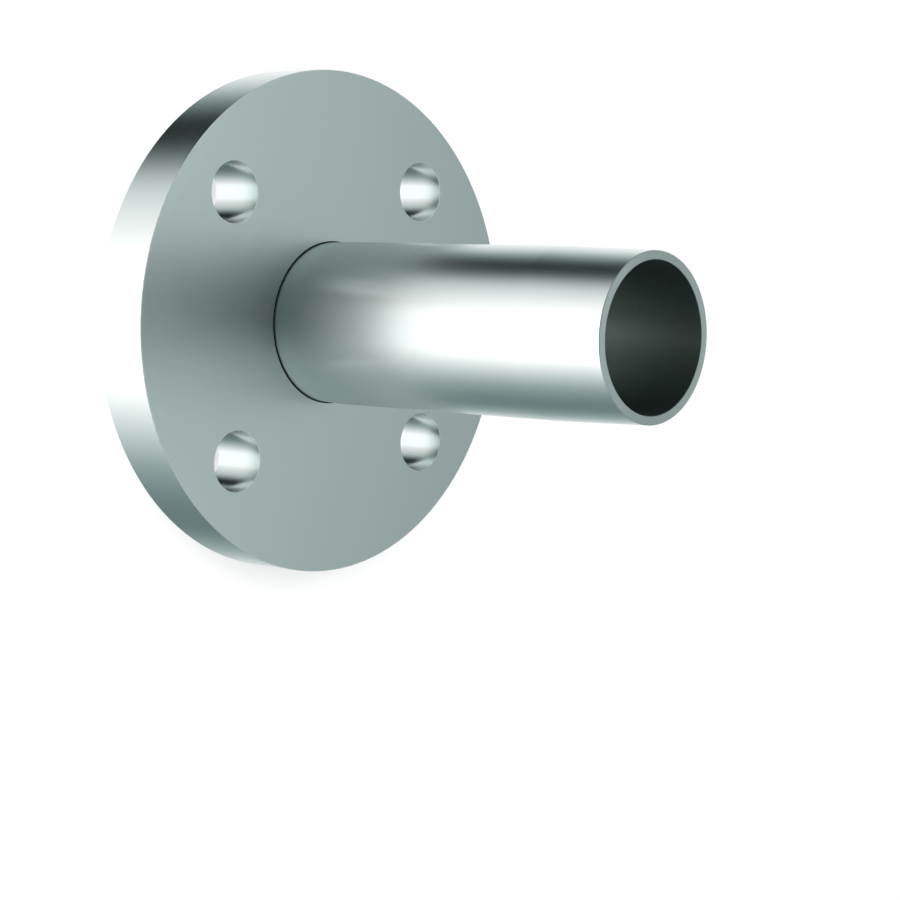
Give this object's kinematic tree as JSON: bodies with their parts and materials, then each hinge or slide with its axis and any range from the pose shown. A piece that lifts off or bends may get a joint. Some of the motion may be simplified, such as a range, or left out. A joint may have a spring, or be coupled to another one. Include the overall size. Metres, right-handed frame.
{
  "type": "threaded flange",
  "caption": "Round plate flange with bolt holes and a straight pipe stub screwed into its bore, standing out of the front face to a slightly narrowed free end.",
  "frame": {"origin": "centre of the flange's mating face, on the pipe's axis", "axes": "+Z along the pipe from the mating face to the free end; the bolt holes lie on the diagonals between X and Y"},
  "size_m": [0.15, 0.15, 0.14],
  "materials": {
    "turned_plate_steel": "satin, fine turning grain",
    "drawn_pipe_steel": "satin, fine lengthwise grain"
  },
  "bodies": {
    "root": {"flange": "turned_plate_steel", "pipe": "drawn_pipe_steel"}
  },
  "joints": []
}
